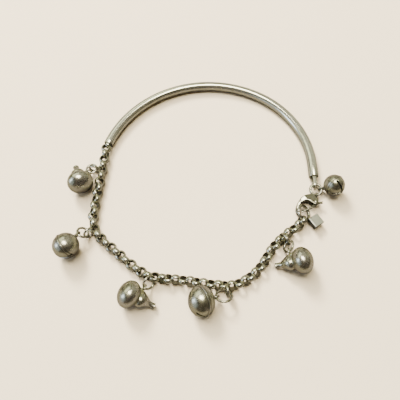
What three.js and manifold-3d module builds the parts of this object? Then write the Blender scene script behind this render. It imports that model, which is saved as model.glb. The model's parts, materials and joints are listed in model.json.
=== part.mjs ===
// A silver bracelet: a bent tube over the back of the wrist, a belcher chain, a lobster clasp,
// three gourd charms and three bells.
// Millimetres, +Z up. The bracelet lies on the plane z = 0. Headings are degrees from +X towards +Y.
import * as THREE from "three";
import { mergeVertices } from "three/addons/utils/BufferGeometryUtils.js";
import Module from "manifold-3d";

const wasm = await Module();
wasm.setup();

// ---- Driving dimensions ------------------------------------------------------------------

const TUBE = { outer: 2.6, bore: 2.0, outerSides: 12, boreSides: 8, steps: 24 };
// The tube's middle line: a straight end, then two arcs that turn left, drawn from the right-hand mouth.
const BANGLE = {
  start: { x: 30.5, y: 6.2, heading: 90 },
  straight: 3.8,
  arcs: [
    { radius: 26.2, sweep: 60 },
    { radius: 29.6, sweep: 101.5 },
  ],
};
// The flat eye in each mouth: strip width across, height, how far it stands out, and its wall.
const EYES = {
  right: { across: 0.9, height: 1.6, reach: 3.2, wall: 0.35 },
  left: { across: 0.7, height: 1.8, reach: 1.28, wall: 0.25 },
};
const EYE_BAR = { depth: 1.5, across: 1.0, height: 2.3, back: 0.2 };

const LINK = { outer: 2.6, radial: 0.42, width: 0.9, crown: 0.54, sides: 8 };
const PITCH = { joined: 1.787, loose: 1.42 };
const LINKS_PER_STRETCH = 4;
const CHAIN_LIFT = 0.03;
const LAST_LINK_LIFT = 0.14;

const RING_SIDES = { around: 12, section: 5 };
const GOURD = {
  centre: 3.15,
  bulbAt: -0.4,
  bulb: 3.3,
  bulbHalf: 2.6,
  neckAt: 2.0,
  neck: 1.62,
  budAt: 2.5,
  bud: 1.8,
  budHalf: 2.0,
  stemAt: 4.9,
  stem: 0.7,
  tipAt: 6.2,
  wall: 0.4,
  sides: 10,
  lean: 21.5,
};
const GOURD_EYE = { radius: 0.75, wire: 0.44, along: 2.2, out: 2.75 };
const GOURD_SOLDER = { radius: 0.55, along: 1.8, out: 1.75, sides: 6 };
const BELL = { wall: 0.4, ridge: 0.1, ridgeHalf: 0.15, slot: 0.7, sides: 12 };
const BELL_EYE = { radius: 0.75, wire: 0.4, standOff: 0.62 };

// ---- Tables ------------------------------------------------------------------------------

// The chain's route over the table, and on past its last link to the clasp's ring;
// roll turns every second link's axis that far from upright.
const CHAIN = {
  links: 53,
  points: [
    { x: -25.93, y: 15.05, roll: 0 },
    { x: -26.2, y: 11.0, roll: 0 },
    { x: -26.7, y: 5.0, roll: 30 },
    { x: -27.2, y: -1.5, roll: 45 },
    { x: -27.3, y: -6.6, roll: 25 },
    { x: -25.6, y: -10.3, roll: 5 },
    { x: -20.2, y: -15.1, roll: 5 },
    { x: -14.4, y: -19.6, roll: 5 },
    { x: -10.6, y: -21.05, roll: 20 },
    { x: -4.0, y: -21.7, roll: 45 },
    { x: 3.0, y: -22.7, roll: 45 },
    { x: 7.2, y: -22.95, roll: 45 },
    { x: 9.7, y: -22.3, roll: 45 },
    { x: 12.1, y: -20.9, roll: 45 },
    { x: 14.2, y: -19.1, roll: 45 },
    { x: 15.9, y: -16.9, roll: 45 },
    { x: 17.5, y: -14.4, roll: 45 },
    { x: 19.5, y: -12.1, roll: 45 },
    { x: 22.6, y: -9.4, roll: 45 },
    { x: 24.6, y: -8.1, roll: 48 },
    { x: 26.1, y: -6.3, roll: 56 },
    { x: 26.8, y: -4.8, roll: 56 },
  ],
};

// Jump rings: centre, radius to the middle of the wire, wire, and the way the ring leans:
// its axis is lean degrees off upright, towards the heading.
const RINGS = [
  { name: "end_ring", at: [30.72, 2.52, 1.05], radius: 1.45, wire: 0.5, lean: 10, heading: -82 },
  { name: "clasp_ring", at: [26.68, -4.35, 1.56], radius: 1.93, wire: 0.55, lean: 36, heading: -5 },
  { name: "gourd_upper_ring_a", at: [-28.23, 8.34, 1.77], radius: 1.46, wire: 0.44, lean: 88, heading: 82 },
  { name: "gourd_upper_ring_b", at: [-29.05, 8.07, 2.31], radius: 1.35, wire: 0.44, lean: 8, heading: 141 },
  { name: "bell_left_ring_a", at: [-29.3, -9.85, 2.12], radius: 1.4, wire: 0.44, lean: 36, heading: 32 },
  { name: "bell_left_ring_b", at: [-27.92, -9.73, 1.65], radius: 1.3, wire: 0.44, lean: 75, heading: -45 },
  { name: "gourd_lower_ring_a", at: [-12.09, -22.37, 2.02], radius: 1.66, wire: 0.4, lean: 60, heading: -35 },
  { name: "bell_lower_ring_a", at: [5.61, -25.49, 2.05], radius: 1.9, wire: 0.44, lean: 34, heading: 92 },
  { name: "bell_lower_ring_b", at: [6.35, -24.25, 1.89], radius: 1.4, wire: 0.44, lean: 86, heading: -166 },
  { name: "gourd_right_ring_a", at: [21.89, -13.38, 1.91], radius: 1.46, wire: 0.44, lean: 55, heading: 165 },
  { name: "gourd_right_ring_b", at: [21.43, -11.47, 1.88], radius: 1.5, wire: 0.44, lean: 81, heading: 33 },
];

// Gourds: the place of the profile's middle, the heading of the stem, and the side of the neck that the
// eye is soldered to: 1 is left of the stem's heading, -1 is right of it.
const GOURDS = [
  { name: "gourd_upper", x: -31.43, y: 4.04, heading: 114, side: -1 },
  { name: "gourd_lower", x: -16.11, y: -25.51, heading: -22.9, side: 1 },
  { name: "gourd_right", x: 24.21, y: -17.38, heading: 187, side: -1 },
];

// Bells: centre, radius, and three ways to point. The eye points along its heading and rise. The shell's
// axis points along its own, square to the seam, and it is stretched at its roll about that axis. The
// saw comes in against its own direction, its blade turned by the roll, and stops at reach, in radii
// from the centre; a crossed bell is sawn twice.
const BELLS = [
  {
    name: "bell_left",
    at: [-32.7, -13.6, 3.3],
    radius: 3.15,
    stretch: 1.04,
    eye: { heading: 51, rise: -5 },
    shell: { heading: 35, rise: 14, roll: 79 },
    saw: { heading: 35, rise: 14, roll: 79 },
    reach: 0.15,
    crossed: false,
  },
  {
    name: "bell_lower",
    at: [0.35, -27.0, 3.4],
    radius: 3.15,
    stretch: 1.16,
    eye: { heading: 19, rise: -21 },
    shell: { heading: 25, rise: -28, roll: 27 },
    saw: { heading: 106, rise: -2, roll: 304 },
    reach: -0.75,
    crossed: false,
  },
  {
    name: "bell_clasp",
    at: [35.0, 2.85, 3.1],
    radius: 2.7,
    stretch: 1.1,
    eye: { heading: 182, rise: -35 },
    shell: { heading: 125, rise: -17, roll: 85 },
    saw: { heading: 125, rise: -17, roll: 85 },
    reach: 0.15,
    crossed: true,
  },
];

// ---- Finishes ----------------------------------------------------------------------------

function finish(color, roughness, metalness = 1) {
  return new THREE.MeshStandardMaterial({ color, roughness, metalness, flatShading: true });
}
const POLISHED = finish(0xd8d4c6, 0.18);
const CHAIN_SILVER = finish(0xcdc9b8, 0.24);
const CAST_SILVER = finish(0xd2cebf, 0.3);
const PALE_TAG = finish(0xc8c8b4, 0.5, 0.6);

// ---- Solids ------------------------------------------------------------------------------

const bracelet = new THREE.Group();

function addPiece(name, geometry, material) {
  const mesh = new THREE.Mesh(geometry, material);
  mesh.name = name;
  bracelet.add(mesh);
  return mesh;
}

// A closed geometry as a solid: one vertex for each place, and no triangle without area.
function toSolid(geometry) {
  const bare = geometry.index ? geometry.toNonIndexed() : geometry.clone();
  bare.deleteAttribute("normal");
  bare.deleteAttribute("uv");
  const merged = mergeVertices(bare, 1e-4);
  const index = merged.index.array;
  const kept = [];
  for (let i = 0; i < index.length; i += 3) {
    const [a, b, c] = index.slice(i, i + 3);
    if (a !== b && b !== c && c !== a) kept.push(a, b, c);
  }
  const mesh = new wasm.Mesh({
    numProp: 3,
    vertProperties: new Float32Array(merged.attributes.position.array),
    triVerts: new Uint32Array(kept),
  });
  return new wasm.Manifold(mesh);
}

function toGeometry(solid) {
  const mesh = solid.getMesh();
  const geometry = new THREE.BufferGeometry();
  geometry.setAttribute("position", new THREE.BufferAttribute(new Float32Array(mesh.vertProperties), 3));
  geometry.setIndex(new THREE.BufferAttribute(new Uint32Array(mesh.triVerts), 1));
  geometry.computeVertexNormals();
  return geometry;
}

// Joins overlapping pieces into one body, and fills the pockets that are left where they meet.
function join(geometries) {
  const whole = geometries.map(toSolid).reduce((sum, next) => sum.add(next));
  const bodies = whole.decompose().filter((shell) => shell.volume() > 0);
  if (bodies.length !== 1) throw new Error(`joined pieces make ${bodies.length} bodies, not one`);
  return bodies[0];
}

const radians = THREE.MathUtils.degToRad;

function polygon(apothem, sides) {
  const corner = apothem / Math.cos(Math.PI / sides);
  const points = [];
  for (let i = 0; i < sides; i += 1) {
    const angle = ((i + 0.5) * 2 * Math.PI) / sides;
    points.push(new THREE.Vector2(corner * Math.cos(angle), corner * Math.sin(angle)));
  }
  return points;
}

function lathe(profile, sides, phiStart = 0) {
  const points = profile.map(([r, along]) => new THREE.Vector2(Math.max(r, 0), along));
  return new THREE.LatheGeometry(points, sides, phiStart);
}

function arcProfile(radius, half, from, to, count) {
  const points = [];
  for (let i = 0; i < count; i += 1) {
    const angle = radians(THREE.MathUtils.lerp(from, to, i / (count - 1)));
    points.push([radius * Math.sin(angle), half * Math.cos(angle)]);
  }
  return points;
}

// A wire ring round its own Z axis.
function ringGeometry(radius, wire) {
  return new THREE.TorusGeometry(radius, wire / 2, RING_SIDES.section, RING_SIDES.around);
}

function direction(heading, rise) {
  const flat = Math.cos(radians(rise));
  return new THREE.Vector3(
    flat * Math.cos(radians(heading)),
    flat * Math.sin(radians(heading)),
    Math.sin(radians(rise)),
  );
}

// ---- Tube --------------------------------------------------------------------------------

class BangleLine extends THREE.Curve {
  constructor() {
    super();
    const { start, straight, arcs } = BANGLE;
    this.parts = [{ length: straight, radius: Infinity }];
    for (const arc of arcs) this.parts.push({ length: arc.radius * radians(arc.sweep), radius: arc.radius });
    this.length = this.parts.reduce((sum, part) => sum + part.length, 0);
    this.origin = { x: start.x, y: start.y, angle: radians(start.heading) };
  }

  // Place and angle at a distance from the right-hand mouth.
  at(distance) {
    let { x, y, angle } = this.origin;
    let left = distance;
    for (const { length, radius } of this.parts) {
      const run = Math.min(left, length);
      if (radius === Infinity) {
        x += run * Math.cos(angle);
        y += run * Math.sin(angle);
      } else {
        const turned = angle + run / radius;
        x += radius * (Math.sin(turned) - Math.sin(angle));
        y -= radius * (Math.cos(turned) - Math.cos(angle));
        angle = turned;
      }
      left -= run;
    }
    return { x, y, angle };
  }

  getPoint(t, target = new THREE.Vector3()) {
    const { x, y } = this.at(t * this.length);
    return target.set(x, y, TUBE.outer / 2);
  }
}

function tubeSolid(line) {
  const section = new THREE.Shape(polygon(TUBE.outer / 2, TUBE.outerSides));
  section.holes.push(new THREE.Path(polygon(TUBE.bore / 2, TUBE.boreSides)));
  return new THREE.ExtrudeGeometry(section, { steps: TUBE.steps, extrudePath: line });
}

// A flat strip bent into an eye, standing out along +X, with its hole across (along Y).
function eyeGeometries({ across, height, reach, wall }) {
  const outer = new THREE.Shape();
  const half = height / 2;
  outer.moveTo(-EYE_BAR.depth, -half);
  outer.lineTo(reach - half, -half);
  outer.absarc(reach - half, 0, half, -Math.PI / 2, Math.PI / 2, false);
  outer.lineTo(-EYE_BAR.depth, half);
  outer.closePath();
  const inner = half - wall;
  const hole = new THREE.Path();
  hole.moveTo(0, -inner);
  hole.lineTo(reach - half, -inner);
  hole.absarc(reach - half, 0, inner, -Math.PI / 2, Math.PI / 2, false);
  hole.lineTo(0, inner);
  hole.closePath();
  outer.holes.push(hole);
  const strip = new THREE.ExtrudeGeometry(outer, { depth: across, bevelEnabled: false, curveSegments: 5 });
  strip.translate(0, 0, -across / 2);
  strip.rotateX(Math.PI / 2);
  const bar = new THREE.BoxGeometry(EYE_BAR.depth - EYE_BAR.back, EYE_BAR.across, EYE_BAR.height);
  bar.translate(-(EYE_BAR.depth + EYE_BAR.back) / 2, 0, 0);
  return [strip, bar];
}

function buildTube() {
  const line = new BangleLine();
  const geometries = [tubeSolid(line)];
  const ends = [
    { eye: EYES.right, ...line.at(0), turn: Math.PI },
    { eye: EYES.left, ...line.at(line.length), turn: 0 },
  ];
  for (const { eye, x, y, angle, turn } of ends) {
    for (const geometry of eyeGeometries(eye)) {
      geometry.rotateZ(angle + turn);
      geometry.translate(x, y, TUBE.outer / 2);
      geometries.push(geometry);
    }
  }
  addPiece("bangle_tube", toGeometry(join(geometries)), POLISHED);
}

// ---- Chain -------------------------------------------------------------------------------

// One link round its own Z axis, a band with a narrower outer face than inner face.
function linkGeometry() {
  const scale = 1 / Math.cos(Math.PI / LINK.sides);
  const outer = (LINK.outer / 2) * scale;
  const inner = (LINK.outer / 2 - LINK.radial) * scale;
  const profile = [
    [inner, -LINK.width / 2],
    [outer, -LINK.crown / 2],
    [outer, LINK.crown / 2],
    [inner, LINK.width / 2],
    [inner, -LINK.width / 2],
  ];
  return lathe(profile, LINK.sides, Math.PI / LINK.sides).rotateX(Math.PI / 2);
}

// How high a link's centre rests when its axis leans that far from upright.
function restHeight(lean) {
  const outer = LINK.outer / 2;
  const inner = outer - LINK.radial;
  const sin = Math.abs(Math.sin(radians(lean)));
  const cos = Math.abs(Math.cos(radians(lean)));
  return Math.max(outer * sin + (LINK.crown / 2) * cos, inner * sin + (LINK.width / 2) * cos);
}

// A smooth line through the route's points, as samples of x, y and roll.
function routeSamples(points) {
  const curve = new THREE.CatmullRomCurve3(
    points.map(({ x, y, roll }) => new THREE.Vector3(x, y, roll)),
    false,
    "catmullrom",
    0.5,
  );
  return curve.getPoints(40 * (points.length - 1));
}

// Link centres one pitch apart, each found on the line beyond the last.
function walk(samples, count) {
  const centres = [samples[0].clone()];
  let from = 0;
  while (centres.length < count) {
    const last = centres[centres.length - 1];
    const step = centres.length % LINKS_PER_STRETCH === 0 ? PITCH.loose : PITCH.joined;
    const away = (point) => Math.hypot(point.x - last.x, point.y - last.y);
    while (from + 2 < samples.length && away(samples[from + 1]) < step) from += 1;
    let near = 0;
    let far = 1;
    for (let i = 0; i < 30; i += 1) {
      const middle = (near + far) / 2;
      if (away(samples[from].clone().lerp(samples[from + 1], middle)) < step) near = middle;
      else far = middle;
    }
    centres.push(samples[from].clone().lerp(samples[from + 1], far));
  }
  return centres;
}

function placeLink(centres, i) {
  const before = centres[Math.max(i - 1, 0)];
  const after = centres[i + 1];
  const along = new THREE.Vector3(after.x - before.x, after.y - before.y, 0).normalize();
  const side = new THREE.Vector3(-along.y, along.x, 0);
  const lean = centres[i].z;
  const roll = radians(lean + (i % 2 ? 90 : 0));
  const axis = new THREE.Vector3(0, 0, Math.cos(roll)).addScaledVector(side, Math.sin(roll));
  const across = new THREE.Vector3().crossVectors(axis, along);
  const lift = i === CHAIN.links - 1 ? LAST_LINK_LIFT : 0;
  const height = Math.max(restHeight(lean), restHeight(90 - lean)) + CHAIN_LIFT + lift;
  const matrix = new THREE.Matrix4().makeBasis(along, across, axis);
  matrix.setPosition(centres[i].x, centres[i].y, height);
  return linkGeometry().applyMatrix4(matrix);
}

function buildChain({ links, points }) {
  const centres = walk(routeSamples(points), links + 1);
  for (let first = 0; first < links; first += LINKS_PER_STRETCH) {
    const geometries = [];
    for (let i = first; i < Math.min(first + LINKS_PER_STRETCH, links); i += 1) {
      geometries.push(placeLink(centres, i));
    }
    const number = String(first / LINKS_PER_STRETCH + 1).padStart(2, "0");
    addPiece(`chain_${number}`, toGeometry(join(geometries)), CHAIN_SILVER);
  }
}

// ---- Jump rings --------------------------------------------------------------------------

function buildRing({ name, at, radius, wire, lean, heading }) {
  const ring = addPiece(name, toGeometry(toSolid(ringGeometry(radius, wire))), POLISHED);
  ring.position.set(...at);
  ring.quaternion.setFromUnitVectors(new THREE.Vector3(0, 0, 1), direction(heading, 90 - lean));
}

// ---- Gourds ------------------------------------------------------------------------------

// Outside and inside of a gourd as one profile round the stem's axis, open at the tip.
function gourdProfile() {
  const skin = (step, bulbSteps, budSteps) => {
    const bulb = arcProfile(GOURD.bulb - step, GOURD.bulbHalf - step, 180, 31, bulbSteps);
    const bud = arcProfile(GOURD.bud - step, GOURD.budHalf, 95, 35, budSteps);
    return [
      ...bulb.map(([r, along]) => [r, along + GOURD.bulbAt]),
      [GOURD.neck - step, GOURD.neckAt],
      ...bud.map(([r, along]) => [r, along + GOURD.budAt]),
      [GOURD.stem - step, GOURD.stemAt],
      [GOURD.stem - step, GOURD.tipAt],
    ];
  };
  return [...skin(0, 8, 3), ...skin(GOURD.wall, 6, 2).reverse()];
}

function buildGourd({ name, x, y, heading, side }) {
  const body = lathe(gourdProfile(), GOURD.sides);
  body.rotateZ(-Math.PI / 2);
  const eye = ringGeometry(GOURD_EYE.radius, GOURD_EYE.wire);
  eye.rotateY(Math.PI / 2).translate(GOURD_EYE.along, side * GOURD_EYE.out, 0);
  const { radius, along, out, sides } = GOURD_SOLDER;
  const solder = new THREE.SphereGeometry(radius, sides, sides / 2);
  solder.translate(along, side * out, 0);
  const gourd = addPiece(name, toGeometry(join([body, eye, solder])), POLISHED);
  gourd.position.set(x, y, GOURD.centre);
  gourd.rotation.set(0, radians(GOURD.lean), radians(heading), "ZYX");
}

// ---- Bells -------------------------------------------------------------------------------

function bellShell(radius) {
  const { ridge, ridgeHalf, wall, sides } = BELL;
  const outer = [
    ...arcProfile(radius, radius, 180, 96, 4),
    [radius + ridge, -ridgeHalf],
    [radius + ridge, ridgeHalf],
    ...arcProfile(radius, radius, 84, 0, 4),
  ];
  const inner = arcProfile(radius - wall, radius - wall, 180, 0, 7);
  const shell = toSolid(lathe(outer, sides)).subtract(toSolid(lathe(inner, sides)));
  return toGeometry(shell).rotateZ(-Math.PI / 2);
}

// Turns a geometry about the origin so that its X axis points along a heading and rise.
function point(geometry, { heading, rise, roll = 0 }) {
  return geometry.rotateX(radians(roll)).rotateY(-radians(rise)).rotateZ(radians(heading));
}

function sawCut({ radius, saw, reach }, turn) {
  const far = radius + 2;
  const length = far + radius * reach;
  const cut = new THREE.BoxGeometry(length, BELL.slot, 2 * far);
  cut.translate(radius * reach - length / 2, 0, 0);
  return toSolid(point(cut, { ...saw, roll: saw.roll + turn }));
}

function buildBell(row) {
  const { name, at, radius, stretch, eye, shell, crossed } = row;
  let solid = toSolid(point(bellShell(radius).scale(1, stretch, 1), shell)).subtract(sawCut(row, 0));
  if (crossed) solid = solid.subtract(sawCut(row, 90));
  const ring = ringGeometry(BELL_EYE.radius, BELL_EYE.wire).rotateX(Math.PI / 2);
  ring.translate(radius + BELL_EYE.standOff, 0, 0);
  const bell = addPiece(name, toGeometry(join([toGeometry(solid), point(ring, eye)])), POLISHED);
  bell.position.set(...at);
}

// ---- Clasp -------------------------------------------------------------------------------

// The clasp's own frame: X from the tail to the tip, Y towards the lever, Z up from the table.
const CLASP = { x: 30.59, y: 0.52, heading: 214 };
const CLASP_BODY = { low: 0.12, high: 2.4, edge: 0.35 };
const LEVER = { low: 1.45, high: 1.92, pivotX: 1.6, pivotY: 1.2, root: 0.6, gap: 0.15 };
const PIN = { radius: 0.3, hole: 0.42, sunk: 0.1 };
// The sawn gap that the lever's root works in, and the slab that the side view is cut from.
const LEVER_GAP = { long: 3.4, wide: 2.6, out: 0.45 };
const SIDE_DEPTH = 8;
const TAIL_EYE = { x: -0.43, y: -0.35, z: 0.84, radius: 0.6, wire: 0.38, turn: 56 };

function claspPlan() {
  const plan = new THREE.Shape();
  plan.moveTo(-0.1, -0.2);
  plan.splineThru([
    new THREE.Vector2(1.0, -0.95),
    new THREE.Vector2(2.0, -1.55),
    new THREE.Vector2(3.5, -1.85),
    new THREE.Vector2(5.07, -1.4),
    new THREE.Vector2(6.4, -0.55),
    new THREE.Vector2(7.2, 0.45),
    new THREE.Vector2(7.3, 1.55),
  ]);
  plan.lineTo(6.85, 1.85);
  plan.lineTo(6.62, 1.4);
  plan.splineThru([
    new THREE.Vector2(6.5, 0.6),
    new THREE.Vector2(6.05, -0.1),
    new THREE.Vector2(4.9, -0.6),
    new THREE.Vector2(3.5, -0.5),
    new THREE.Vector2(2.75, 0.2),
  ]);
  plan.lineTo(2.55, 1.0);
  plan.lineTo(2.25, 1.75);
  plan.lineTo(1.5, 1.95);
  plan.lineTo(0.8, 1.35);
  plan.lineTo(0.0, 0.4);
  plan.closePath();
  return plan;
}

// The clasp from the side: full at the lever's root, thinner over the hook's tip.
function claspSide() {
  const side = new THREE.Shape();
  const { low, high } = CLASP_BODY;
  side.moveTo(-0.5, low + 0.4);
  side.lineTo(0.6, low);
  side.lineTo(6.6, low);
  side.lineTo(7.6, low + 0.35);
  side.lineTo(7.6, 1.2);
  side.lineTo(6.4, 1.6);
  side.lineTo(5.2, 1.7);
  side.lineTo(3.2, high);
  side.lineTo(0.8, high);
  side.lineTo(-0.5, 1.4);
  side.closePath();
  return side;
}

function leverGeometry() {
  const plan = new THREE.Shape();
  const { pivotX, pivotY, root } = LEVER;
  plan.absarc(pivotX, pivotY, root, radians(170), radians(300), false);
  plan.lineTo(2.6, 1.45);
  plan.lineTo(5.0, 1.42);
  plan.lineTo(6.15, 1.0);
  plan.lineTo(6.2, 1.5);
  plan.lineTo(5.2, 1.85);
  plan.lineTo(3.0, 2.1);
  plan.lineTo(1.5, 2.1);
  plan.lineTo(0.1, 2.55);
  plan.lineTo(-0.1, 2.25);
  plan.lineTo(0.8, 1.75);
  plan.closePath();
  const thick = LEVER.high - LEVER.low;
  const lever = new THREE.ExtrudeGeometry(plan, { depth: thick, bevelEnabled: false, curveSegments: 4 });
  return lever.translate(0, 0, LEVER.low);
}

function cylinder(radius, low, high) {
  const round = new THREE.CylinderGeometry(radius, radius, high - low, 10);
  round.rotateX(Math.PI / 2);
  return round.translate(LEVER.pivotX, LEVER.pivotY, (low + high) / 2);
}

function placeOnClasp(mesh) {
  mesh.position.set(CLASP.x, CLASP.y, 0);
  mesh.rotation.set(0, 0, radians(CLASP.heading));
}

function buildClasp() {
  const { low, high, edge } = CLASP_BODY;
  const options = {
    depth: high - low - 2 * edge,
    curveSegments: 2,
    bevelEnabled: true,
    bevelThickness: edge,
    bevelSize: edge * 0.7,
    bevelOffset: -edge * 0.7,
    bevelSegments: 1,
  };
  const plan = new THREE.ExtrudeGeometry(claspPlan(), options).translate(0, 0, low + edge);
  const side = new THREE.ExtrudeGeometry(claspSide(), { depth: SIDE_DEPTH, bevelEnabled: false });
  side.rotateX(Math.PI / 2).translate(0, SIDE_DEPTH / 2, 0);
  const slotHeight = LEVER.high - LEVER.low + 2 * LEVER.gap;
  const slot = new THREE.BoxGeometry(LEVER_GAP.long, LEVER_GAP.wide, slotHeight);
  slot.translate(LEVER.pivotX, LEVER.pivotY + LEVER_GAP.out, (LEVER.low + LEVER.high) / 2);
  const eye = ringGeometry(TAIL_EYE.radius, TAIL_EYE.wire).rotateX(Math.PI / 2);
  eye.rotateZ(radians(TAIL_EYE.turn)).translate(TAIL_EYE.x, TAIL_EYE.y, TAIL_EYE.z);
  const pin = cylinder(PIN.radius, low + edge, high - PIN.sunk);
  const body = toSolid(plan).intersect(toSolid(side)).subtract(toSolid(slot)).add(toSolid(pin)).add(toSolid(eye));
  placeOnClasp(addPiece("clasp_body", toGeometry(body), CAST_SILVER));
  const hole = cylinder(PIN.hole, LEVER.low - 1, LEVER.high + 1);
  const lever = toSolid(leverGeometry()).subtract(toSolid(hole));
  placeOnClasp(addPiece("clasp_lever", toGeometry(lever), CAST_SILVER));
}

// ---- Tag ---------------------------------------------------------------------------------

const TAG = { x: 29.5, y: -6.6, z: 1.6, long: 3.0, wide: 2.8, thick: 1.3, heading: 33, edge: 0.2 };
const TAG_EYE = { x: 27.72, y: -5.76, z: 0.87, radius: 0.6, wire: 0.36, lean: 63, heading: 224 };

function buildTag() {
  const { long, wide, thick, edge } = TAG;
  const outline = new THREE.Shape();
  outline.moveTo(-long / 2 + edge, -wide / 2 + edge);
  outline.lineTo(long / 2 - edge, -wide / 2 + edge);
  outline.lineTo(long / 2 - edge, wide / 2 - edge);
  outline.lineTo(-long / 2 + edge, wide / 2 - edge);
  outline.closePath();
  const block = new THREE.ExtrudeGeometry(outline, {
    depth: thick - 2 * edge,
    bevelThickness: edge,
    bevelSize: edge,
    bevelSegments: 1,
  });
  block.translate(0, 0, -thick / 2 + edge);
  block.rotateZ(radians(TAG.heading));
  block.translate(TAG.x, TAG.y, TAG.z);
  const eye = ringGeometry(TAG_EYE.radius, TAG_EYE.wire);
  const turn = new THREE.Quaternion();
  turn.setFromUnitVectors(new THREE.Vector3(0, 0, 1), direction(TAG_EYE.heading, 90 - TAG_EYE.lean));
  eye.applyQuaternion(turn).translate(TAG_EYE.x, TAG_EYE.y, TAG_EYE.z);
  addPiece("square_tag", toGeometry(join([block, eye])), PALE_TAG);
}

// ---- The whole bracelet ------------------------------------------------------------------

buildTube();
for (const ring of RINGS) buildRing(ring);
buildClasp();
buildTag();
buildChain(CHAIN);
for (const gourd of GOURDS) buildGourd(gourd);
for (const bell of BELLS) buildBell(bell);

// The origin is under the middle of the bracelet's box, on the table.
const box = new THREE.Box3().setFromObject(bracelet, true);
const middle = box.getCenter(new THREE.Vector3());
bracelet.position.set(-middle.x, -middle.y, -box.min.z);
const model = new THREE.Group();
model.add(bracelet);

export default model;
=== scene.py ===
# %% [markdown]
# # A silver charm bracelet
#
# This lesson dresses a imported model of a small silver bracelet. The real thing is a bent tube that lies
# over the back of the wrist, a belcher chain, a lobster clasp, and six hollow charms: three gourds and
# three bells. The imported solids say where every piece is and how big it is. Here each one is modelled
# again, smooth and with its fine edges, and gets its metal.
#
# Everything is in metres, so a length in millimetres is multiplied by MM.

# %% Load the frame
import json
import math

import bpy
from mathutils import Matrix, Vector

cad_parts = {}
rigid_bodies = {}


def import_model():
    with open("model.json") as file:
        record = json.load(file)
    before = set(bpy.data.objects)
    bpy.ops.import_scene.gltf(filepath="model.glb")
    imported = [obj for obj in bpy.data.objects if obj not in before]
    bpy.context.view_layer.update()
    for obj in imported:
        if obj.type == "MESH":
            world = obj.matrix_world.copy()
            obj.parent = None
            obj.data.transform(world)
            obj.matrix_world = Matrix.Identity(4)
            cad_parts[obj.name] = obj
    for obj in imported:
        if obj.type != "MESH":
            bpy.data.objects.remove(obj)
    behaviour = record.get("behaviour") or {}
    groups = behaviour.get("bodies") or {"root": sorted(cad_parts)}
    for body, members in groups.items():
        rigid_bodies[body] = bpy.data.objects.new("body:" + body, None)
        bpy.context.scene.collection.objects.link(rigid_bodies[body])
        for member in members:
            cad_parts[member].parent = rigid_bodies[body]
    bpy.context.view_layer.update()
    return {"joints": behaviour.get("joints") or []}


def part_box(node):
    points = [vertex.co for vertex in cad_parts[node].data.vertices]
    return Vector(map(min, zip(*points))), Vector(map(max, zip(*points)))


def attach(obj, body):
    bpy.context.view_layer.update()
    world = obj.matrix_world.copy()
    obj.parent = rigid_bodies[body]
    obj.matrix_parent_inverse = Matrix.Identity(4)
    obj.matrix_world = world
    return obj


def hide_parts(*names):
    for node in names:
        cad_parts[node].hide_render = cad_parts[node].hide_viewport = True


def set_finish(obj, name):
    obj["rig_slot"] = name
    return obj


for leftover in list(bpy.data.objects):
    bpy.data.objects.remove(leftover)
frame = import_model()
MM = 0.001

# %% [markdown]
# ## From the drawing to the frame
#
# The bracelet was drawn around the middle of the table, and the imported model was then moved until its
# box was centred. The pin of the clasp's lever is in the frame as a hinge, and its place on the drawing
# is known too, so the two together give the move. Everything below uses the drawing's numbers.

# %% The move from the drawing to the frame
CLASP = {"x": 30.59, "y": 0.52, "heading": 214}
LEVER_PIN = {"x": 1.6, "y": 1.2, "z": 1.685}


def in_mm(x, y, z=0.0):
    return Vector((x, y, z)) * MM


def turned(degrees, axis):
    return Matrix.Rotation(math.radians(degrees), 4, axis)


clasp_on_drawing = Matrix.Translation(in_mm(CLASP["x"], CLASP["y"])) @ turned(CLASP["heading"], "Z")
pin_on_drawing = clasp_on_drawing @ in_mm(LEVER_PIN["x"], LEVER_PIN["y"], LEVER_PIN["z"])
hinge = frame["joints"][0]
DRAWING = Matrix.Translation(Vector(hinge["pos_m"]) - pin_on_drawing)
print("drawing moved by, in mm:", [round(part / MM, 3) for part in DRAWING.translation])

# %% [markdown]
# ## The camera
#
# The bracelet lies flat and is looked at from steeply above. The lens stands only a hand's width away, so
# the near charms look a little larger than the far end of the tube.

# %% Camera
CAMERA_RISE = 66
CAMERA_DISTANCE = 106 * MM
SENSOR_WIDTH = 36
FOCAL_LENGTH = 36
NEAREST_SEEN = 2 * MM
rise = math.radians(CAMERA_RISE)
camera_at = DRAWING @ Vector((0, -CAMERA_DISTANCE * math.cos(rise), CAMERA_DISTANCE * math.sin(rise)))
bpy.ops.object.camera_add(location=camera_at, rotation=(math.pi / 2 - rise, 0, 0))
camera = bpy.context.object
camera.name = "camera"
camera.data.sensor_width = SENSOR_WIDTH
camera.data.lens = FOCAL_LENGTH
camera.data.clip_start = NEAREST_SEEN
bpy.context.scene.camera = camera
print("camera stands at, in mm:", [round(part / MM, 1) for part in camera_at])

# %% [markdown]
# ## A few hand tools
#
# An operator works on everything that is selected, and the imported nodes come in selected. So each piece
# starts with an empty selection, and inside a mesh the faces or edges for the next step are picked by
# their place. The helpers below are the bench tools: start, edit, pick, modify, join and lay in place.
# A `table` gives the short lists of sizes further down their column names.

# %% Bench tools
# Corners closer than WELD become one, and a place is picked when it lies within NEARLY.
WELD = MM / 1000
NEARLY = 0.01 * MM


def table(columns, *rows):
    """Rows of values as dictionaries, read by the names of their columns."""
    return [dict(zip(columns.split(), row)) for row in rows]


def clear_bench():
    """Leaves edit mode and selects nothing, so that the next primitive is alone."""
    if bpy.context.object and bpy.context.object.mode != "OBJECT":
        bpy.ops.object.mode_set(mode="OBJECT")
    bpy.ops.object.select_all(action="DESELECT")


def edit_all():
    bpy.ops.object.mode_set(mode="EDIT")
    bpy.ops.mesh.select_mode(type="VERT")
    bpy.ops.mesh.select_all(action="SELECT")


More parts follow.
